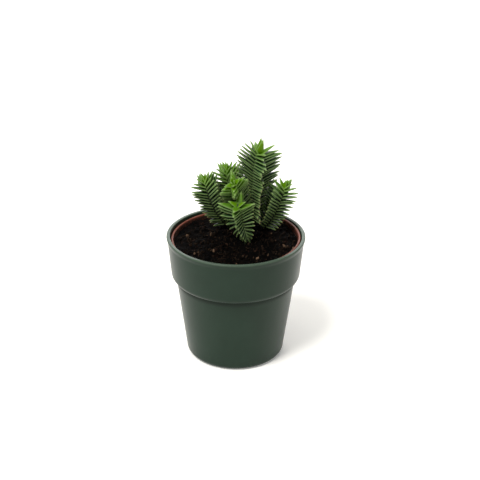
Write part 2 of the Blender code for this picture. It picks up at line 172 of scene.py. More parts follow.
green_plastic, tree, shader = new_material(
    "polypropylene_green_spark_grain", Roughness=0.3, IOR=1.49, Specular_IOR_Level=0.15
)
place = add_node(tree, "TexCoord").outputs["Object"]
# The colour and the sheen vary a little in wide soft patches, as handling leaves them.
mottle = add_node(tree, "TexNoise", inputs={"Vector": place, "Scale": per_metre(24), "Detail": 3.0})
shade = mixed(tree, mottle.outputs["Fac"], linear("#1E2D23"), linear("#26382D"))
# A dark band is painted in the crease under the band, as painted shade, and the sheen is dulled there too.
height = add_node(tree, "SeparateXYZ", inputs={"Vector": place}).outputs["Z"]
off_crease = add_node(tree, "Math", {"operation": "SUBTRACT"}, {0: height, 1: CREASE_SHADE_Z})
off_crease = add_node(tree, "Math", {"operation": "ABSOLUTE"}, {0: off_crease.outputs["Value"]})
crease_shade = add_node(
    tree,
    "MapRange",
    {"interpolation_type": "SMOOTHSTEP"},
    {"Value": off_crease.outputs["Value"], "From Max": CREASE_SHADE_REACH, "To Min": 0.55, "To Max": 0.0},
).outputs["Result"]
shade = mixed(tree, crease_shade, shade, linear("#0A140E"))
# The top of the lip is painted a little paler than the rest, as a painted highlight of the light that it
# catches.
painted_lip_highlight = add_node(
    tree,
    "MapRange",
    {"interpolation_type": "SMOOTHSTEP"},
    {"Value": height, "From Min": COVER_HEIGHT - LIP_HIGHLIGHT_DEPTH, "From Max": COVER_HEIGHT, "To Max": 0.3},
).outputs["Result"]
shade = mixed(tree, painted_lip_highlight, shade, linear("#6C7C6A"))
tree.links.new(shade, shader.inputs["Base Color"])
sheen = add_node(
    tree, "MapRange", inputs={"Value": mottle.outputs["Fac"], "To Min": 0.27, "To Max": 0.34}
)
dulled = add_node(
    tree,
    "Math",
    {"operation": "MULTIPLY_ADD", "use_clamp": True},
    {0: crease_shade, 1: 0.5, 2: sheen.outputs["Result"]},
)
tree.links.new(dulled.outputs["Value"], shader.inputs["Roughness"])
# The real grain is about 0.1 mm. It is drawn at 0.45 mm, so that it shows.
grain = add_node(tree, "TexNoise", inputs={"Vector": place, "Scale": per_metre(0.45), "Detail": 2.0})
bump = add_node(
    tree, "Bump", inputs={"Height": grain.outputs["Fac"], "Strength": 0.25, "Distance": 0.06 * MM}
)
tree.links.new(bump.outputs["Normal"], shader.inputs["Normal"])

base_r = COVER_BASE_R - COVER_BASE_ROUND
foot_r = base_r - FOOT_WIDTH
profile = [(0.0, FLOOR_THICKNESS), (COVER_BASE_R - COVER_WALL, FLOOR_THICKNESS)]
profile += [(r - COVER_WALL, z) for r, z in reversed(band_shoulder(HIDDEN_CURVE_STEPS))]
profile += [(BAND_TOP_R - COVER_WALL, COVER_HEIGHT - LIP_HEIGHT)]
profile += [(LIP_INNER_R, COVER_HEIGHT - LIP_RING_DEPTH)]
lip_corner = (COVER_HEIGHT - LIP_ROUND, LIP_ROUND, LIP_ROUND)
profile += arc(LIP_INNER_R + LIP_ROUND, *lip_corner, 180, 90, LIP_CORNER_STEPS)
profile += arc(LIP_R - LIP_ROUND, *lip_corner, 90, 0, LIP_CORNER_STEPS)
profile += lip_flare(CURVE_STEPS)[1:] + band_shoulder(CURVE_STEPS)
profile += arc(base_r, COVER_BASE_ROUND, COVER_BASE_ROUND, COVER_BASE_ROUND, 0, -90, HIDDEN_CURVE_STEPS)
profile += [(foot_r, 0.0), (foot_r - FOOT_RECESS, FOOT_RECESS), (0.0, FOOT_RECESS)]
cover_pot = turned("cover_pot_moulding", profile, green_plastic)
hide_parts("cover_pot")
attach(cover_pot, "root")


# The nursery pot is a thin terracotta-coloured polypropylene moulding, in which the plant was
# grown. It stands a little askew on the cover pot's floor. Handling and wet peat have dulled its
# smooth surface. Below the rim its wall is painted dark in patches: partly peat dust, partly painted shade.
NURSERY_RIM_R = 45.8 * MM
NURSERY_RIM_WIDTH = 1.7 * MM
NURSERY_RIM_ROUND = 0.7 * MM
NURSERY_RIM_DROP = 1.8 * MM
NURSERY_TOP_R = 45.0 * MM
NURSERY_BASE_R = 28.2 * MM
NURSERY_WALL = 0.9 * MM
NURSERY_RIM_Z = 89.6 * MM
NURSERY_SHIFT = (-0.1 * MM, 0.1 * MM)
NURSERY_LEAN = (math.radians(0.7), math.radians(-1.2))
GAP = 0.3 * MM
NURSERY_LOW_EDGE = NURSERY_BASE_R * math.sin(math.hypot(*NURSERY_LEAN))
NURSERY_HEIGHT = NURSERY_RIM_Z - FLOOR_THICKNESS - GAP - NURSERY_LOW_EDGE
NURSERY_TURN = Euler((*NURSERY_LEAN, 0.0)).to_matrix().to_4x4()
NURSERY_PLACE = Matrix.Translation((*NURSERY_SHIFT, NURSERY_RIM_Z)) @ NURSERY_TURN
DRAIN_HOLES = 5
DRAIN_HOLE_R = 3.5 * MM
DRAIN_RING_R = 20.0 * MM
DRAIN_HOLE_SIDES = 32
DRAIN_DRILL_LENGTH = 4 * MM
SOIL_DEPTH = 3.0 * MM

terracotta_plastic, tree, shader = new_material(
    "polypropylene_terracotta_dulled",
    Roughness=0.5,
    IOR=1.49,
    Specular_IOR_Level=0.25,
    Subsurface_Weight=0.06,
)
shader.inputs["Subsurface Radius"].default_value = (1.2 * MM, 0.5 * MM, 0.3 * MM)
place = add_node(tree, "TexCoord").outputs["Object"]
# The colour varies faintly, as the moulded plastic's does.
streaks = add_node(tree, "TexNoise", inputs={"Vector": place, "Scale": per_metre(9), "Detail": 4.0})
shade = mixed(tree, streaks.outputs["Fac"], linear("#633329"), linear("#7B4330"))
# The dark patches, partly dust and partly painted shade, start just under the rim, and are measured along
# the leaning pot's own axis.
rim_axis = NURSERY_TURN.col[2].xyz
rim_level = NURSERY_PLACE.translation.dot(rim_axis)
along_axis = add_node(tree, "VectorMath", {"operation": "DOT_PRODUCT"}, {0: place, 1: rim_axis})
below_rim_dark = add_node(
    tree,
    "MapRange",
    inputs={
        "Value": along_axis.outputs["Value"],
        "From Min": rim_level - 1.5 * MM,
        "From Max": rim_level - 0.4 * MM,
        "To Min": 1.8,
        "To Max": 0.15,
    },
)
dust = add_node(tree, "TexNoise", inputs={"Vector": place, "Scale": per_metre(1.4), "Detail": 5.0})
dust_and_shade = add_node(
    tree,
    "Math",
    {"operation": "MULTIPLY", "use_clamp": True},
    {0: below_rim_dark.outputs["Result"], 1: dust.outputs["Fac"]},
)
shade = mixed(tree, dust_and_shade.outputs["Value"], shade, linear("#22130D"))
tree.links.new(shade, shader.inputs["Base Color"])
dulling = add_node(
    tree, "MapRange", inputs={"Value": dust.outputs["Fac"], "To Min": 0.38, "To Max": 0.62}
)
tree.links.new(dulling.outputs["Result"], shader.inputs["Roughness"])
bump = add_node(
    tree, "Bump", inputs={"Height": dust.outputs["Fac"], "Strength": 0.3, "Distance": 0.05 * MM}
)
tree.links.new(bump.outputs["Normal"], shader.inputs["Normal"])


def nursery_wall_r(below_rim):
    """The nursery pot's outside radius this far below its rim."""
    return NURSERY_TOP_R + (NURSERY_BASE_R - NURSERY_TOP_R) * below_rim / NURSERY_HEIGHT


floor_z = NURSERY_WALL - NURSERY_HEIGHT
under_rim = nursery_wall_r(NURSERY_RIM_DROP)
rim_half = NURSERY_RIM_WIDTH / 2
profile = [(0.0, floor_z), (NURSERY_BASE_R - NURSERY_WALL, floor_z)]
profile += [(under_rim - NURSERY_WALL, -NURSERY_RIM_DROP)]
rim_round = (-NURSERY_RIM_ROUND, rim_half, NURSERY_RIM_ROUND)
profile += arc(NURSERY_RIM_R - rim_half, *rim_round, 180, 0, CURVE_STEPS)
profile += [(NURSERY_RIM_R, -NURSERY_RIM_DROP), (under_rim, -NURSERY_RIM_DROP - NURSERY_RIM_ROUND)]
profile += [(NURSERY_BASE_R, -NURSERY_HEIGHT), (0.0, -NURSERY_HEIGHT)]
nursery_pot = turned("nursery_pot_moulding", profile, terracotta_plastic)
for i in range(DRAIN_HOLES):
    turn = 2 * math.pi * i / DRAIN_HOLES
    at = (DRAIN_RING_R * math.cos(turn), DRAIN_RING_R * math.sin(turn), -NURSERY_HEIGHT)
    bpy.ops.mesh.primitive_cylinder_add(
        vertices=DRAIN_HOLE_SIDES, radius=DRAIN_HOLE_R, depth=DRAIN_DRILL_LENGTH, location=at
    )
    drill = bpy.context.object
    cut = nursery_pot.modifiers.new("drain_hole", "BOOLEAN")
    cut.object = drill
    cut.solver = "EXACT"
    nursery_pot.data = bpy.data.meshes.new_from_object(
        nursery_pot.evaluated_get(bpy.context.evaluated_depsgraph_get())
    )
    nursery_pot.modifiers.clear()
    bpy.data.objects.remove(drill)
nursery_pot.data.transform(NURSERY_PLACE)
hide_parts("nursery_pot")
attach(nursery_pot, "root")


# The peat is dark, moist and crumbly. Its body has a lumpy top, on which loose crumbs, bits of bark
# and fibres lie. It is almost black where it is wet, and the dry bits are brown to tan.
SOIL_Z = NURSERY_RIM_Z - SOIL_DEPTH
SOIL_SIDE_GAP = 0.4 * MM
SOIL_EDGE = 3.0 * MM
MOUND_CENTRE = (14 * MM, 17 * MM)
MOUND_HEIGHT = 1.6 * MM
MOUND_SPREAD = 14 * MM
LUMP_SIZE = 7.0 * MM
LUMP_HEIGHT = 1.4 * MM
FINE_LUMPS = 2.3  # times finer, and half as high
SOIL_RINGS = 120
SOIL_SPOKES = 280
CLOD_SIZE = 4.4 * MM
CLOD_HEIGHT = 1.3 * MM
GRIT_SIZE = 1.1 * MM
GRIT_HEIGHT = 0.35 * MM
PIT_REACH = 0.45  # of a clod: what lies further out is a pit

peat, tree, shader = new_material("peat_moist_crumbly", Roughness=0.9, IOR=1.4, Specular_IOR_Level=0.05)
place = add_node(tree, "TexCoord").outputs["Object"]
# Almost black, with rusty brown flecks. Each crumb and fibre carries its own paler tone.
wet = add_node(tree, "TexNoise", inputs={"Vector": place, "Scale": per_metre(6), "Detail": 6.0})
flecks = add_node(tree, "TexNoise", inputs={"Vector": place, "Scale": per_metre(2.6), "Detail": 5.0})
damp = add_node(
    tree, "MapRange", inputs={"Value": wet.outputs["Fac"], "From Min": 0.35, "From Max": 0.7}
)
shade = mixed(tree, damp.outputs["Result"], linear("#010101"), linear("#060403"))
rusty = add_node(
    tree,
    "MapRange",
    inputs={"Value": flecks.outputs["Fac"], "From Min": 0.6, "From Max": 0.76, "To Max": 0.7},
)
shade = mixed(tree, rusty.outputs["Result"], shade, linear("#2E1A13"))
tone = add_node(tree, "Attribute", {"attribute_name": "tone"}).outputs["Fac"]
shade = mixed(tree, tone, shade, linear("#8C6F58"))
tree.links.new(shade, shader.inputs["Base Color"])
bump = add_node(
    tree, "Bump", inputs={"Height": flecks.outputs["Fac"], "Strength": 0.8, "Distance": 0.25 * MM}
)
tree.links.new(bump.outputs["Normal"], shader.inputs["Normal"])


def soil_relief(x, y):
    """The height of the peat above its level, at a place in the nursery pot's own frame."""
    distance = math.hypot(x - MOUND_CENTRE[0], y - MOUND_CENTRE[1])
    mound = MOUND_HEIGHT * math.exp(-((distance / MOUND_SPREAD) ** 2))
    at = Vector((x, y, 0.0)) / LUMP_SIZE
    return mound + LUMP_HEIGHT * (noise.noise(at) + 0.5 * noise.noise(at * FINE_LUMPS))


def clods(x, y):
    """The finer relief of the peat: rounded clods with pits between them, and grit on top."""
    at = Vector((x, y, 0.0))
    nearest = noise.voronoi(at / CLOD_SIZE)[0][0]
    fine = noise.voronoi(at / GRIT_SIZE)[0][0]
    return CLOD_HEIGHT * (PIT_REACH - nearest) + GRIT_HEIGHT * (PIT_REACH - fine)


def height_over_soil(at):
    """How far a point lies over the peat, along the nursery pot's axis."""
    own = NURSERY_PLACE.inverted() @ at
    return own.z + SOIL_DEPTH - soil_relief(own.x, own.y)


def make_soil():
    """The peat's body, a closed mesh in the nursery pot's frame, with a fine polar grid on top."""
    bottom = NURSERY_WALL - NURSERY_HEIGHT + GAP
    top_r = nursery_wall_r(SOIL_DEPTH) - NURSERY_WALL - SOIL_SIDE_GAP
    edge_r = nursery_wall_r(SOIL_DEPTH + SOIL_EDGE) - NURSERY_WALL - SOIL_SIDE_GAP
    bottom_r = NURSERY_BASE_R - NURSERY_WALL - SOIL_SIDE_GAP
    bm = bmesh.new()
    rings = []
    for i in range(1, SOIL_RINGS + 1):
        r = top_r * i / SOIL_RINGS
        turns = [2 * math.pi * j / SOIL_SPOKES for j in range(SOIL_SPOKES)]
        places = [(r * math.cos(a), r * math.sin(a)) for a in turns]
        rings.append([
            bm.verts.new((x, y, soil_relief(x, y) + clods(x, y) - SOIL_DEPTH)) for x, y in places
        ])
    for r, z in ((edge_r, -SOIL_DEPTH - SOIL_EDGE), (bottom_r, bottom)):
        rings.append([bm.verts.new((r * math.cos(a), r * math.sin(a), z)) for a in turns])
    for inner, outer in zip(rings, rings[1:]):
        for j in range(SOIL_SPOKES):
            k = (j + 1) % SOIL_SPOKES
            bm.faces.new((inner[j], outer[j], outer[k], inner[k]))
    middle = bm.verts.new((0.0, 0.0, soil_relief(0.0, 0.0) + clods(0.0, 0.0) - SOIL_DEPTH))
    for j in range(SOIL_SPOKES):
        bm.faces.new((middle, rings[0][j], rings[0][(j + 1) % SOIL_SPOKES]))
    bm.faces.new(list(reversed(rings[-1])))
    bm.transform(NURSERY_PLACE)
    for face in bm.faces:
        face.smooth = True
    mesh = bpy.data.meshes.new("peat_body")
    bm.to_mesh(mesh)
    bm.free()
    mesh.materials.append(peat)
    obj = bpy.data.objects.new("peat_body", mesh)
    bpy.context.scene.collection.objects.link(obj)
    return obj


soil = make_soil()
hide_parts("soil")
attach(soil, "root")

# Loose crumbs of peat, with drier and paler bits of bark among them. The few large pale ones lie
# where they catch the light: x and y in millimetres, size in millimetres, and how pale they are.
CRUMBS = 900
CRUMB_SIZES = (0.7, 3.2)
SMALL_CRUMBS = 2.5  # the power that makes small crumbs the most common
CRUMB_SEED = 5
CRUMB_ANY_TURN = 6.28
CRUMB_DIVISIONS = 2
LUMP_VARIETY = 99
CRUMB_STRETCH = ((0.7, 1.2), (0.4, 0.8), (0.25, 0.5))
CRUMB_LUMPS = ((0.6, 1.7), (0.35, 4.0))  # each one's height and how fine it is
CRUMB_SUNK = 0.12  # of its size: how far its middle lies over the peat
BARK_SHARE = 0.05
BARK_PALE = (0.1, 0.4)
BARK_SIZE = 0.6
PEAT_PALE = (0.0, 0.07)
CRUMB_MARGIN = 2 * MM
PALE_BITS = (
    (33.9, -11.5, 3.6, 0.3), (36.0, -10.2, 2.8, 0.2), (40.0, -15.5, 3.2, 0.4), (14.8, -29.4, 3.2, 0.55),
    (-15.3, -19.0, 2.8, 0.4), (-28.4, -20.9, 3.2, 0.3), (-26.0, -19.5, 2.4, 0.2), (0.4, -36.2, 2.4, 0.35),
    (-34.8, 7.4, 3.0, 0.35), (-17.7, 8.0, 3.4, 0.22), (-20.5, 6.5, 2.6, 0.15), (27.6, -3.3, 2.4, 0.25),
    (-6.0, -14.0, 2.4, 0.12), (22.0, -25.0, 2.6, 0.18), (5.0, -24.0, 2.4, 0.12), (12.0, -27.0, 2.2, 0.15),
)


def unit_blob(subdivisions):
    """(points, faces) of a ball of radius 1."""
    bm = bmesh.new()
    bmesh.ops.create_icosphere(bm, subdivisions=subdivisions, radius=1.0)
    bm.verts.index_update()
    found = [vertex.co.copy() for vertex in bm.verts], [[v.index for v in face.verts] for face in bm.faces]
    bm.free()
    return found


def mesh_object(name, points, faces, materials, **shares):
    """A smooth mesh object whose vertices carry the named shares, which its material reads."""
    mesh = bpy.data.meshes.new(name)
    mesh.from_pydata(points, [], faces)
    for material in materials:
        mesh.materials.append(material)
    for label, values in shares.items():
        mesh.attributes.new(label, "FLOAT", "POINT").data.foreach_set("value", values)
    mesh.polygons.foreach_set("use_smooth", [True] * len(mesh.polygons))
    obj = bpy.data.objects.new(name, mesh)
    bpy.context.scene.collection.objects.link(obj)
    return obj


def make_crumbs():
    """The loose crumbs, as one mesh of lumpy balls with a tone each."""
    rng = random.Random(CRUMB_SEED)
    ball, ball_faces = unit_blob(CRUMB_DIVISIONS)
    reach = nursery_wall_r(SOIL_DEPTH) - NURSERY_WALL - CRUMB_MARGIN
    spots = [(x * MM, y * MM, size * MM, pale) for x, y, size, pale in PALE_BITS]
    for _ in range(CRUMBS):
        r, a = reach * math.sqrt(rng.random()), rng.uniform(0, 2 * math.pi)
        size = CRUMB_SIZES[0] + (CRUMB_SIZES[1] - CRUMB_SIZES[0]) * rng.random() ** SMALL_CRUMBS
        pale = rng.uniform(*BARK_PALE) if rng.random() < BARK_SHARE else rng.uniform(*PEAT_PALE)
        size *= BARK_SIZE if pale > BARK_PALE[0] else 1.0
        spots.append((r * math.cos(a), r * math.sin(a), size * MM, pale))
    points, faces, tones = [], [], []
    for x, y, size, pale in spots:
        first = len(points)
        turn = Euler([rng.uniform(0, CRUMB_ANY_TURN) for _ in range(3)]).to_matrix()
        stretch = Vector([rng.uniform(*limits) for limits in CRUMB_STRETCH]) * size / 2
        seed = Vector((rng.uniform(0, LUMP_VARIETY), 0.0, 0.0))
        own = NURSERY_PLACE.inverted() @ Vector((x, y, SOIL_Z))
        z = soil_relief(own.x, own.y) + clods(own.x, own.y) - SOIL_DEPTH
        lie = NURSERY_PLACE @ Vector((own.x, own.y, z))
        for co in ball:
            rough = 1 + sum(high * noise.noise(co * fine + seed) for high, fine in CRUMB_LUMPS)
            points.append(lie + turn @ (co * stretch * rough) + Vector((0, 0, size * CRUMB_SUNK)))
        faces += [[first + i for i in face] for face in ball_faces]
        tones += [pale] * len(ball)
    return mesh_object("peat_crumbs", points, faces, [peat], tone=tones)


crumbs = make_crumbs()
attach(crumbs, "root")

# Fibres of peat moss and root, thinner than the crumbs, lying over them in loose arcs.
FIBRES = 60
FIBRE_R = 0.11 * MM
FIBRE_SIDES = 5
FIBRE_STEPS = 9
FIBRE_SEED = 8
FIBRE_LENGTHS = (3, 8)
FIBRE_CURL = 2.2
FIBRE_PALE = (0.02, 0.16)
FIBRE_LIFT = 0.25 * MM
FIBRE_ARCH = 0.8 * MM
FIBRE_MARGIN = 7 * MM


def make_fibres():
    """The fibres, as one mesh of thin arched tubes with a tone each."""
    rng = random.Random(FIBRE_SEED)
    reach = nursery_wall_r(SOIL_DEPTH) - NURSERY_WALL - FIBRE_MARGIN
    points, faces, tones = [], [], []
    for _ in range(FIBRES):
        r, a = reach * math.sqrt(rng.random()), rng.uniform(0, 2 * math.pi)
        x, y = r * math.cos(a), r * math.sin(a)
        heading, curl = rng.uniform(0, 2 * math.pi), rng.uniform(-FIBRE_CURL, FIBRE_CURL)
        step = rng.uniform(*FIBRE_LENGTHS) * MM / FIBRE_STEPS
        pale = rng.uniform(*FIBRE_PALE)
        first = len(points)
        for i in range(FIBRE_STEPS + 1):
            share = i / FIBRE_STEPS
            x, y = x + step * math.cos(heading), y + step * math.sin(heading)
            heading += curl / FIBRE_STEPS
            own = NURSERY_PLACE.inverted() @ Vector((x, y, SOIL_Z))
            z = soil_relief(own.x, own.y) - SOIL_DEPTH + FIBRE_LIFT + FIBRE_ARCH * math.sin(math.pi * share)
            lie = NURSERY_PLACE @ Vector((own.x, own.y, z))
            side = Vector((-math.sin(heading), math.cos(heading), 0.0))
            for j in range(FIBRE_SIDES):
                turn = 2 * math.pi * j / FIBRE_SIDES
                points.append(lie + (side * math.cos(turn) + Vector((0, 0, 1)) * math.sin(turn)) * FIBRE_R)
        for i in range(FIBRE_STEPS):
            for j in range(FIBRE_SIDES):
                a0 = first + i * FIBRE_SIDES + j
                a1 = first + i * FIBRE_SIDES + (j + 1) % FIBRE_SIDES
                faces.append((a0, a0 + FIBRE_SIDES, a1 + FIBRE_SIDES, a1))
        faces.append([first + j for j in range(FIBRE_SIDES)])
        last = first + FIBRE_STEPS * FIBRE_SIDES
        faces.append([last + j for j in reversed(range(FIBRE_SIDES))])
        tones += [pale] * (FIBRE_SIDES * (FIBRE_STEPS + 1))
    return mesh_object("peat_fibres", points, faces, [peat], tone=tones)


fibres = make_fibres()
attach(fibres, "root")


# The crassula's shoots: fleshy leaves in four ranks, in crossed pairs so close that each shoot looks
# like a stack of blades. A leaf is thick and stiff, with a blunt rounded edge, and its waxy skin
# is bright yellow-green in the bud, blue-green when grown, and olive with a tan tip when old.
ROOT_DEPTH = 10 * MM
ROOT_R = 2.0 * MM
ROOT_STRAIGHT = 3.2 * MM  # how far a stem rises straight above the peat
CORE_R = 3.2 * MM  # the stem with the leaf bases that sheathe it
CORE_TIP_R = 0.9 * MM
CORE_TAPER = 9 * MM
CORE_POINTS = 9
CORE_SWELLS_IN = 2  # points above the root
STEM_SAMPLES = 90
SHORT_LEAF_WIDTH = 0.5  # the share of the width that doesn't shrink with the length
LEAF_THICKNESS = 1.9 * MM
BUD_THICKNESS = 0.4  # the share of the thickness that the youngest leaves have
TIP_THINNING = 0.25  # the share of the thickness that is gone at the tip
ABOVE_MIDDLE = 0.4  # the share of the thickness over the blade's middle line
TIP_TAPER = 0.3  # the share of the length over which the thickness closes to the tip
TIP_ROUNDNESS = 0.35  # the power of that taper: the lower, the blunter
OUTLINE_ROOT = 0.88  # the share of the full width that a leaf has at its root
OUTLINE_SWELL = 1.2
OUTLINE_POWER = 1.45  # how late the outline narrows to the tip
EDGE_FULLNESS = 0.8  # the power that squares the blade's section a little
STATION_POWER = 1.25  # sets the blade's stations closer at its root
LEAF_ROOT = 1.9 * MM  # a full leaf starts this far from the stem's middle
FIRST_PAIR = 0.6 * MM  # below the apex
BUD_STEP = 0.4  # the height of the youngest pair, as a share of a full one
BUD_STEP_GROWS = 0.15  # a pair
BUD_ANGLE = math.radians(82)
LOW_LEAVES_FROM = 5 * MM  # below the apex
LEAF_DROOP = 4  # how far a blade curves down by its tip, in degrees, under the bud and lowest down
LOW_LEAF_DROOP = 30
TURN_SPREAD = 4  # degrees to either side
RISE_SPREAD = 3  # degrees up or down
LENGTH_SPREAD = (0.94, 1.05)
SEED = 11
LEAF_CLEARANCE = 0.3 * MM
LEAF_SHARES = (1.0, 0.88, 0.76, 0.64, 0.52, 0.4)
LEAF_BENDS = (
    (0, 0), (6, 0), (-6, 0), (0, 7), (0, -7), (12, 0), (-12, 0), (8, 10), (8, -10), (20, 0), (28, 0)
)
SHORTEST_LEAF = 4.0 * MM
RIM_CLEARANCE = 4.0 * MM
BLADE_SIDES = 18
BLADE_STATIONS = 20
LOOKS_SEED = 40  # kept apart from SEED, so that a change of looks moves no leaf
STEM_ROUNDNESS = 6
STEM_SLIMNESS = 0.82  # the visible stem, as a share of the solid's
TONES = (0.3, 1.0)  # how far an old leaf turns olive
AGE_POWER = 1.5  # how late the bud's colour gives way to the grown leaf's
DROOP_POWER = 3  # how late, on the way down, the blades start to curve
FALL_POWER = 1.5  # and to sink
TEST_SIDES = 4  # the coarse blade that finds where a leaf has room
TEST_RINGS = 3
POLE = 0.01  # a ball's point nearer its axis than this is a pole

# root and apex: where a stem leaves the peat and where its youngest pair sits, in millimetres.
# rise and reach: how it leaves its root and how it comes to its apex, in millimetres.
# turns and ranks: where the leaves of each rank point, and how far they rise from square to the
# stem, in degrees. falls: how much less the lowest ones rise.
# leaf, width and step: a full leaf's length and width and the height of a pair, in millimetres.
# bud: the youngest leaves' length, as a share of a full one's. short: the lowest ones'.
# grows and opens: the pairs in which the bud's leaves grow and open.
# bare: the share of the stem with no leaves.
# fresh: how far the yellow-green of the bud reaches down, as a count of pairs.
Shoot = namedtuple(
    "Shoot", "name root apex rise reach turns ranks falls leaf width step bud short grows opens bare fresh"
)

SHOOTS = (
    Shoot(
        "shoot_front", root=(7.2, -4.5), apex=(1.0, -4.5, 115.8), rise=(-0.4, 1, 5), reach=(0.5, -4.5, 12),
        turns=(-107, -20, 73, 163), ranks=(18, 34, 18, 14), falls=(100, 110, 60, 96),
        leaf=12.6, width=6.2, step=1.1, bud=0.3, short=0.3, grows=2.5, opens=0.8, bare=0.0, fresh=5,
    ),
    Shoot(
        "shoot_main", root=(13.1, 22), apex=(15.8, 17, 146.5), rise=(0, 0, 38), reach=(2.2, 0, 12),
        turns=(-77, 17, 104, 196), ranks=(18, 22, 14, 40), falls=(0, 0, 0, 0),
        leaf=17.6, width=6.8, step=1.1, bud=0.64, short=0.8, grows=8, opens=0.8, bare=0.08, fresh=4,
    ),
    Shoot(
        "shoot_right", root=(20.3, 18), apex=(33.8, 8, 124.1), rise=(6.5, -3, 9), reach=(4.5, -1.5, 15),
        turns=(-140, -40, 60, 140), ranks=(36, 38, 30, 5), falls=(0, 4, 0, 0),
        leaf=13.6, width=5.8, step=1.3, bud=0.5, short=0.5, grows=6, opens=1.5, bare=0.0, fresh=5,
    ),
    Shoot(
        "shoot_left", root=(-5, 20), apex=(-21.8, 8, 128.0), rise=(-7, -2, 5), reach=(-3.5, -2.5, 16),
        turns=(-145, -32, 46, 125), ranks=(38, 45, 46, 34), falls=(-16, 20, 10, 0),
        leaf=13.6, width=6.0, step=1.28, bud=0.5, short=0.55, grows=8, opens=2.0, bare=0.05, fresh=5,
    ),
    Shoot(
        "shoot_centre", root=(4, 14), apex=(-2.3, 3, 128.5), rise=(-1, -2, 16), reach=(-2, -8, 8),
        turns=(-152, -88, 14, 88), ranks=(24, 26, 34, 36), falls=(0, 0, 0, 0),
        leaf=10.8, width=5.6, step=1.15, bud=0.45, short=0.8, grows=5, opens=1.4, bare=0.35, fresh=12,
    ),
    Shoot(
        "shoot_back", root=(0, 28), apex=(-6.4, 22, 130.5), rise=(-1, 0, 16), reach=(-1.4, 0.7, 14),
        turns=(-60, 30, 120, 210), ranks=(34, 34, 34, 34), falls=(0, 0, 0, 0),
        leaf=14.0, width=5.4, step=1.25, bud=0.5, short=0.9, grows=6, opens=2.4, bare=0.15, fresh=14,
    ),
)

leaf_skin, tree, shader = new_material(
    "crassula_leaf_waxy",
    Roughness=0.42,
    IOR=1.42,
    Specular_IOR_Level=0.22,
    Subsurface_Weight=0.06,
    Sheen_Weight=0.02,
    Sheen_Roughness=0.45,
    Sheen_Tint=linear("#DCE8D2"),
)
shader.inputs["Subsurface Radius"].default_value = (0.9 * MM, 1.8 * MM, 0.5 * MM)
place = add_node(tree, "TexCoord").outputs["Object"]
age, low, along, edge, tone = (
    add_node(tree, "Attribute", {"attribute_name": label}).outputs["Fac"]
    for label in ("age", "low", "along", "edge", "tone")
)
# Grown leaves vary in soft patches between blue-green and grass green, and the bud is yellow-green.
patches = add_node(tree, "TexNoise", inputs={"Vector": place, "Scale": per_metre(4), "Detail": 3.0})
skin = mixed(tree, patches.outputs["Fac"], linear("#0F301F"), linear("#274C1D"))
skin = mixed(tree, age, linear("#5A8404"), skin)
# A grown leaf's inner half, which its neighbours cover, is painted darker, as painted shade.
painted_inner_shade = add_node(
    tree,
    "MapRange",
    inputs={"Value": along, "From Min": 0.25, "From Max": 0.75, "To Min": 0.6, "To Max": 0.0},
)
inner_shade_share = add_node(tree, "Math", {"operation": "MULTIPLY"}, {0: painted_inner_shade.outputs["Result"], 1: age})
skin = mixed(tree, inner_shade_share.outputs["Value"], skin, linear("#081D15"))
# The oldest leaves turn olive, each by its own amount.
ageing = add_node(tree, "Math", {"operation": "MULTIPLY"}, {0: low, 1: tone})
skin = mixed(tree, ageing.outputs["Value"], skin, linear("#2C3417"))
# The edges are painted paler, partly for the paler wax there and partly as painted highlight, and the blunt
# end is painted paler as a painted highlight.
rim = add_node(tree, "MapRange", inputs={"Value": edge, "From Min": 0.78, "To Max": 0.5})
blunt_end_highlight = add_node(
    tree, "MapRange", inputs={"Value": along, "From Min": 0.66, "From Max": 0.96, "To Max": 0.8}
)
paler = add_node(
    tree, "Math", {"operation": "MAXIMUM"}, {0: rim.outputs["Result"], 1: blunt_end_highlight.outputs["Result"]}
)
skin = mixed(tree, paler.outputs["Value"], skin, linear("#94B06E"))
# The tips of low leaves have dried to tan.
tip = add_node(tree, "MapRange", inputs={"Value": along, "From Min": 0.9, "From Max": 0.98})
dry_tip = add_node(tree, "Math", {"operation": "MULTIPLY"}, {0: tip.outputs["Result"], 1: low})
skin = mixed(tree, dry_tip.outputs["Value"], skin, linear("#A88F66"))
tree.links.new(skin, shader.inputs["Base Color"])
# The skin's wax cells are about 0.05 mm. They are drawn at 0.3 mm, so that they show.
cells = add_node(tree, "TexNoise", inputs={"Vector": place, "Scale": per_metre(0.3), "Detail": 2.0})
bump = add_node(
    tree, "Bump", inputs={"Height": cells.outputs["Fac"], "Strength": 0.3, "Distance": 0.05 * MM}
)
tree.links.new(bump.outputs["Normal"], shader.inputs["Normal"])

# The stems show only in the gaps between leaves. Their dull dark green is partly their own colour and
# partly painted shade of those gaps.
stem_skin_and_shade, tree, shader = new_material("crassula_stem_green", Roughness=0.7)
place = add_node(tree, "TexCoord").outputs["Object"]
bark = add_node(tree, "TexNoise", inputs={"Vector": place, "Scale": per_metre(1.5), "Detail": 4.0})
shade = mixed(tree, bark.outputs["Fac"], linear("#14200D"), linear("#2C3A1A"))
tree.links.new(shade, shader.inputs["Base Color"])


def lengths_left(line):
    """The way from each point of a line to its end."""
    left = [0.0]
    for ahead, behind in zip(reversed(line[1:]), reversed(line[:-1])):
        left.append(left[-1] + (ahead - behind).length)
    return list(reversed(left))


def stem_line(shoot, count):
    """Points along a stem, from the end of its straight root to its apex."""
    start = Vector((shoot.root[0] * MM, shoot.root[1] * MM, SOIL_Z + ROOT_STRAIGHT))
    end = Vector(shoot.apex) * MM
    first = start + Vector(shoot.rise) * MM
    return interpolate_bezier(start, first, end - Vector(shoot.reach) * MM, end, count)


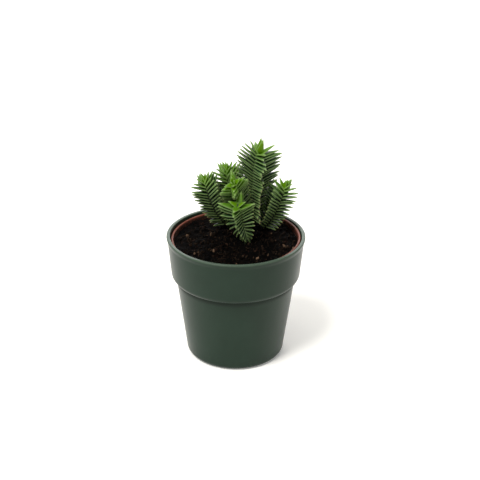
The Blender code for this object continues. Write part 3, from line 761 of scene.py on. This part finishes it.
def make_core(shoot, resolution, slimmer=1.0):
    """The stem, which narrows into the bud, as a closed bmesh."""
    line = stem_line(shoot, CORE_POINTS)
    points = [(Vector((line[0].x, line[0].y, SOIL_Z - ROOT_DEPTH)), ROOT_R)]
    for i, (at, left) in enumerate(zip(line, lengths_left(line))):
        full = ROOT_R + (CORE_R - ROOT_R) * min(1.0, i / CORE_SWELLS_IN)
        points.append((at, CORE_TIP_R + (full - CORE_TIP_R) * math.sqrt(min(1.0, left / CORE_TAPER))))
    curve = bpy.data.curves.new("stem", "CURVE")
    curve.dimensions = "3D"
    curve.bevel_depth = slimmer
    curve.bevel_resolution = resolution
    curve.use_fill_caps = True
    spline = curve.splines.new("POLY")
    spline.points.add(len(points) - 1)
    for point, (at, radius) in zip(spline.points, points):
        point.co = (*at, 1.0)
        point.radius = radius
    tube = bpy.data.objects.new("stem", curve)
    bpy.context.scene.collection.objects.link(tube)
    mesh = bpy.data.meshes.new_from_object(tube.evaluated_get(bpy.context.evaluated_depsgraph_get()))
    bpy.data.objects.remove(tube)
    bm = bmesh.new()
    bm.from_mesh(mesh)
    bmesh.ops.remove_doubles(bm, verts=bm.verts, dist=MERGE_WITHIN)
    bpy.data.meshes.remove(mesh)
    return bm


def leaf_outline(along):
    """A leaf's width at a share of its length, as a share of its widest."""
    return min(1.0, OUTLINE_ROOT + OUTLINE_SWELL * along) * (1 - along**OUTLINE_POWER)


def along_blade(co):
    """How far along a leaf a point of the ball lies, from 0 at the root to 1 at the tip."""
    return (0.5 + co.z / 2) ** STATION_POWER


def unit_blade(sides, rings):
    """(points, faces) of a ball whose poles become a leaf's root and tip."""
    bm = bmesh.new()
    bmesh.ops.create_uvsphere(bm, u_segments=sides, v_segments=rings, radius=1.0)
    bm.verts.index_update()
    found = [vertex.co.copy() for vertex in bm.verts], [[v.index for v in face.verts] for face in bm.faces]
    bm.free()
    return found


def leaf_points(ball, root, out, up, length, width, thickness, angle, droop, swell=0.0):
    """The points of a fleshy blade: nearly flat above, keeled below and pointed. out and up are the
    stem's directions at the leaf, angle is the blade's rise from out, and droop is what it loses of
    it by its tip."""
    side = up.cross(out)
    points = []
    for co in ball:
        along = along_blade(co)
        bend = angle - droop * along
        forward = out * math.cos(bend) + up * math.sin(bend)
        lift = up * math.cos(bend) - out * math.sin(bend)
        chord = angle - droop * along / 2
        centre = root + (out * math.cos(chord) + up * math.sin(chord)) * length * along
        if co.xy.length < POLE:
            points.append(centre + forward * (swell if along > 0.5 else -swell))
            continue
        ring = co.xy.normalized()
        across = math.copysign(abs(ring.x) ** EDGE_FULLNESS, ring.x)
        above = math.copysign(abs(ring.y) ** EDGE_FULLNESS, ring.y)
        half_width = width / 2 * leaf_outline(along) + swell
        depth_share = ABOVE_MIDDLE if ring.y > 0 else 1 - ABOVE_MIDDLE
        taper = min(1.0, (1 - along) / TIP_TAPER) ** TIP_ROUNDNESS
        depth = thickness * (1 - TIP_THINNING * along) * depth_share * taper + swell
        points.append(centre + side * across * half_width + lift * above * depth)
    return points


def leaf_tries():
    """Ways to bend a leaf clear of a neighbour, mildest first: a share of its length, and how far it
    is lifted and turned aside, in degrees."""
    for share in LEAF_SHARES:
        for lift, aside in LEAF_BENDS:
            yield share, math.radians(lift), math.radians(aside)


def is_clear(points, faces, neighbours):
    """True if a blade is off the peat and the pots' rims, and crosses no neighbour."""
    for at in points:
        near_rim = at.z < COVER_HEIGHT and at.xy.length > NURSERY_TOP_R - RIM_CLEARANCE
        if near_rim or height_over_soil(at) < LEAF_CLEARANCE:
            return False
    tree = BVHTree.FromPolygons(points, faces)
    return not any(tree.overlap(other) for other in neighbours)


def stem_frames(shoot):
    """(point, direction, reference, way left to the apex) along a stem, with no twist in the
    reference."""
    line = stem_line(shoot, STEM_SAMPLES)
    reference = Vector((1, 0, 0))
    frames = []
    for i, (at, left) in enumerate(zip(line, lengths_left(line))):
        up = (line[min(i + 1, len(line) - 1)] - line[max(i - 1, 0)]).normalized()
        reference = (reference - up * reference.dot(up)).normalized()
        frames.append((at, up, reference, left))
    return frames


def leaf_pairs(shoot):
    """The pairs of a shoot from the bud down: (index, point, direction, reference, share of the way
    down)."""
    frames = stem_frames(shoot)
    lowest = frames[0][3] * (1 - shoot.bare)
    down = FIRST_PAIR
    index = 0
    while down < lowest:
        at, up, reference, _ = min(frames, key=lambda frame: abs(frame[3] - down))
        low = max(0.0, (down - LOW_LEAVES_FROM) / (lowest - LOW_LEAVES_FROM))
        yield index, at, up, reference, low
        down += shoot.step * MM * min(1.0, BUD_STEP + BUD_STEP_GROWS * index)
        index += 1


def place_leaves(shoot, neighbours, rng, test_ball, test_faces):
    """The leaves of a shoot, set in crossed pairs: (index, low, shape) each."""
    for index, at, up, reference, low in leaf_pairs(shoot):
        grown = min(1.0, shoot.bud + (1 - shoot.bud) * index / shoot.grows)
        full_length = shoot.leaf * MM * grown * (1 + (shoot.short - 1) * low)
        length_share = full_length / (shoot.leaf * MM)
        width = shoot.width * MM * (SHORT_LEAF_WIDTH + (1 - SHORT_LEAF_WIDTH) * length_share)
        thickness = LEAF_THICKNESS * (BUD_THICKNESS + (1 - BUD_THICKNESS) * grown)
        root_share = grown * grown
        droop = math.radians(LEAF_DROOP + (LOW_LEAF_DROOP - LEAF_DROOP) * low**DROOP_POWER)
        for half in range(2):
            rank = (index + 2 * half) % 4
            opened = math.radians(shoot.ranks[rank] - shoot.falls[rank] * low**FALL_POWER)
            angle = opened + (BUD_ANGLE - opened) * math.exp(-index / shoot.opens)
            turn = shoot.turns[rank] + rng.uniform(-TURN_SPREAD, TURN_SPREAD)
            length = full_length * rng.uniform(*LENGTH_SPREAD)
            rise = angle + math.radians(rng.uniform(-RISE_SPREAD, RISE_SPREAD))
            for share, lift, aside in leaf_tries():
                out = Matrix.Rotation(math.radians(turn) + aside, 3, up) @ reference
                root = at + out * LEAF_ROOT * root_share
                shape = (root, out, up, length * share, width, thickness, rise + lift, droop)
                swollen = leaf_points(test_ball, *shape, swell=LEAF_CLEARANCE)
                if is_clear(swollen, test_faces, neighbours) and length * share > SHORTEST_LEAF:
                    yield index, low, shape
                    break


def tree_of(bodies):
    """One search tree over several (points, faces)."""
    points = []
    faces = []
    for own_points, own_faces in bodies:
        first = len(points)
        points += own_points
        faces += [[first + i for i in face] for face in own_faces]
    return BVHTree.FromPolygons(points, faces)


def core_body(shoot, resolution, swell=0.0, slimmer=1.0):
    """(points, faces) of a stem."""
    bm = make_core(shoot, resolution, slimmer)
    bm.normal_update()
    bm.verts.index_update()
    points = [vertex.co + vertex.normal * swell for vertex in bm.verts]
    faces = [[vertex.index for vertex in face.verts] for face in bm.faces]
    bm.free()
    return points, faces


def make_shoots():
    """Every shoot as one piece. The coarse blade settles where a leaf goes, and the fine one is drawn."""
    test_ball, test_faces = unit_blade(TEST_SIDES, TEST_RINGS)
    ball, ball_faces = unit_blade(BLADE_SIDES, BLADE_STATIONS)
    trees = [tree_of([core_body(shoot, 1, LEAF_CLEARANCE)]) for shoot in SHOOTS]
    for n, shoot in enumerate(SHOOTS):
        rng = random.Random(n + SEED)
        looks = random.Random(n + LOOKS_SEED)
        leaves = list(place_leaves(shoot, trees[:n] + trees[n + 1 :], rng, test_ball, test_faces))
        bodies = [(leaf_points(test_ball, *shape), test_faces) for _, _, shape in leaves]
        trees[n] = tree_of([core_body(shoot, 1), *bodies])
        points, faces = core_body(shoot, STEM_ROUNDNESS, slimmer=STEM_SLIMNESS)
        stem_faces = len(faces)
        shares = {label: [0.0] * len(points) for label in ("age", "low", "along", "edge", "tone")}
        for index, low, shape in leaves:
            first = len(points)
            points += leaf_points(ball, *shape)
            faces += [[first + i for i in face] for face in ball_faces]
            tone = looks.uniform(*TONES)
            grown = 1 - math.exp(-((index / shoot.fresh) ** AGE_POWER))
            for co in ball:
                flat = abs(co.xy.normalized().x) if co.xy.length > POLE else 1.0
                shares["age"].append(grown)
                shares["low"].append(low)
                shares["along"].append(along_blade(co))
                shares["edge"].append(flat)
                shares["tone"].append(tone)
        piece = mesh_object(shoot.name + "_leaves", points, faces, [leaf_skin, stem_skin_and_shade], **shares)
        for polygon in piece.data.polygons[:stem_faces]:
            polygon.material_index = 1
        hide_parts(shoot.name)
        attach(piece, "root")


make_shoots()


# The studio: a white floor and a low white wall far round it, which glow a little, so that only a
# faint shadow shows, under a large soft light from the upper left in front, in even surroundings.
FLOOR_R = 8.0
WALL_HEIGHT = 1.6
WALL_STEPS = 96
FLOOR_GLOW = 0.235
SURROUND_STRENGTH = 0.15
floor_paint, tree, shader = new_material("floor_white_acrylic", Roughness=0.8, Specular_IOR_Level=0.2)
shader.inputs["Base Color"].default_value = linear("#F2EFE8")
shader.inputs["Emission Color"].default_value = linear("#FFFFFF")
shader.inputs["Emission Strength"].default_value = FLOOR_GLOW
bpy.ops.mesh.primitive_circle_add(vertices=WALL_STEPS, radius=FLOOR_R, fill_type="NGON")
floor = bpy.context.object
floor.name = "studio_floor"
floor.data.materials.append(floor_paint)
bpy.ops.mesh.primitive_cylinder_add(
    vertices=WALL_STEPS,
    radius=FLOOR_R,
    depth=WALL_HEIGHT,
    end_fill_type="NOTHING",
    location=(0, 0, WALL_HEIGHT / 2),
)
wall = bpy.context.object
wall.name = "studio_wall"
wall.data.materials.append(floor_paint)
bpy.ops.object.shade_smooth()

world = bpy.data.worlds.new("studio_surround")
bpy.context.scene.world = world
world.use_nodes = True
world.node_tree.nodes["Background"].inputs["Color"].default_value = linear("#FFFFFF")
world.node_tree.nodes["Background"].inputs["Strength"].default_value = SURROUND_STRENGTH

KEY_FROM = Vector((-0.83, -0.9, 2.0))
KEY_SPREAD = math.radians(20)
KEY_STRENGTH = 2.8
key_light = bpy.data.lights.new("key_soft_light", "SUN")
key_light.angle = KEY_SPREAD
key_light.energy = KEY_STRENGTH
key = bpy.data.objects.new("key_soft_light", key_light)
key.rotation_euler = (-KEY_FROM).to_track_quat("-Z", "Y").to_euler()
bpy.context.scene.collection.objects.link(key)

BACK_SOFTBOX_SIZE = 1.2
BACK_SOFTBOX_AT = Vector((0.0, 1.25, 0.8))
BACK_SOFTBOX_AIM = Vector((0.0, 0.0, 0.09))
BACK_SOFTBOX_WATTS = 14.0
back_light = bpy.data.lights.new("back_softbox", "AREA")
back_light.shape = "SQUARE"
back_light.size = BACK_SOFTBOX_SIZE
back_light.energy = BACK_SOFTBOX_WATTS
back_softbox = bpy.data.objects.new("back_softbox", back_light)
back_softbox.location = BACK_SOFTBOX_AT
back_facing = BACK_SOFTBOX_AIM - BACK_SOFTBOX_AT
back_softbox.rotation_euler = back_facing.to_track_quat("-Z", "Y").to_euler()
bpy.context.scene.collection.objects.link(back_softbox)

TOP_SOFTBOX_SIZE = 1.0
TOP_SOFTBOX_AT = (-0.1, -0.1, 1.4)
TOP_SOFTBOX_WATTS = 7.0
top_light = bpy.data.lights.new("top_softbox", "AREA")
top_light.shape = "SQUARE"
top_light.size = TOP_SOFTBOX_SIZE
top_light.energy = TOP_SOFTBOX_WATTS
top_softbox = bpy.data.objects.new("top_softbox", top_light)
top_softbox.location = TOP_SOFTBOX_AT
bpy.context.scene.collection.objects.link(top_softbox)

# The camera looks down on the pot from the front, as the photograph does.
CAMERA_FALL = math.radians(27.71)
CAMERA_ROLL = math.radians(0.45)
CAMERA_DISTANCE = 0.7198
FRAME_SIZE = 480
FOCAL_PIXELS = 1000.0
SENSOR_WIDTH = 36
AXIS_PIXEL = (235.65, 273.48)
AIM = Vector((0.0, 0.0, 0.06))
back = Vector((0.0, -math.cos(CAMERA_FALL), math.sin(CAMERA_FALL)))
camera_data = bpy.data.cameras.new("camera")
camera_data.sensor_width = SENSOR_WIDTH
camera_data.lens = FOCAL_PIXELS * SENSOR_WIDTH / FRAME_SIZE
camera_data.shift_x = (FRAME_SIZE / 2 - AXIS_PIXEL[0]) / FRAME_SIZE
camera_data.shift_y = (AXIS_PIXEL[1] - FRAME_SIZE / 2) / FRAME_SIZE
camera_data.clip_start = 0.01
camera = bpy.data.objects.new("camera", camera_data)
bpy.context.scene.collection.objects.link(camera)
turn = (-back).to_track_quat("-Z", "Y").to_matrix().to_4x4()
roll = Matrix.Rotation(CAMERA_ROLL, 4, "Z")
camera.matrix_world = Matrix.Translation(AIM + back * CAMERA_DISTANCE) @ turn @ roll
bpy.context.scene.camera = camera
bpy.context.scene.view_settings.view_transform = "Standard"
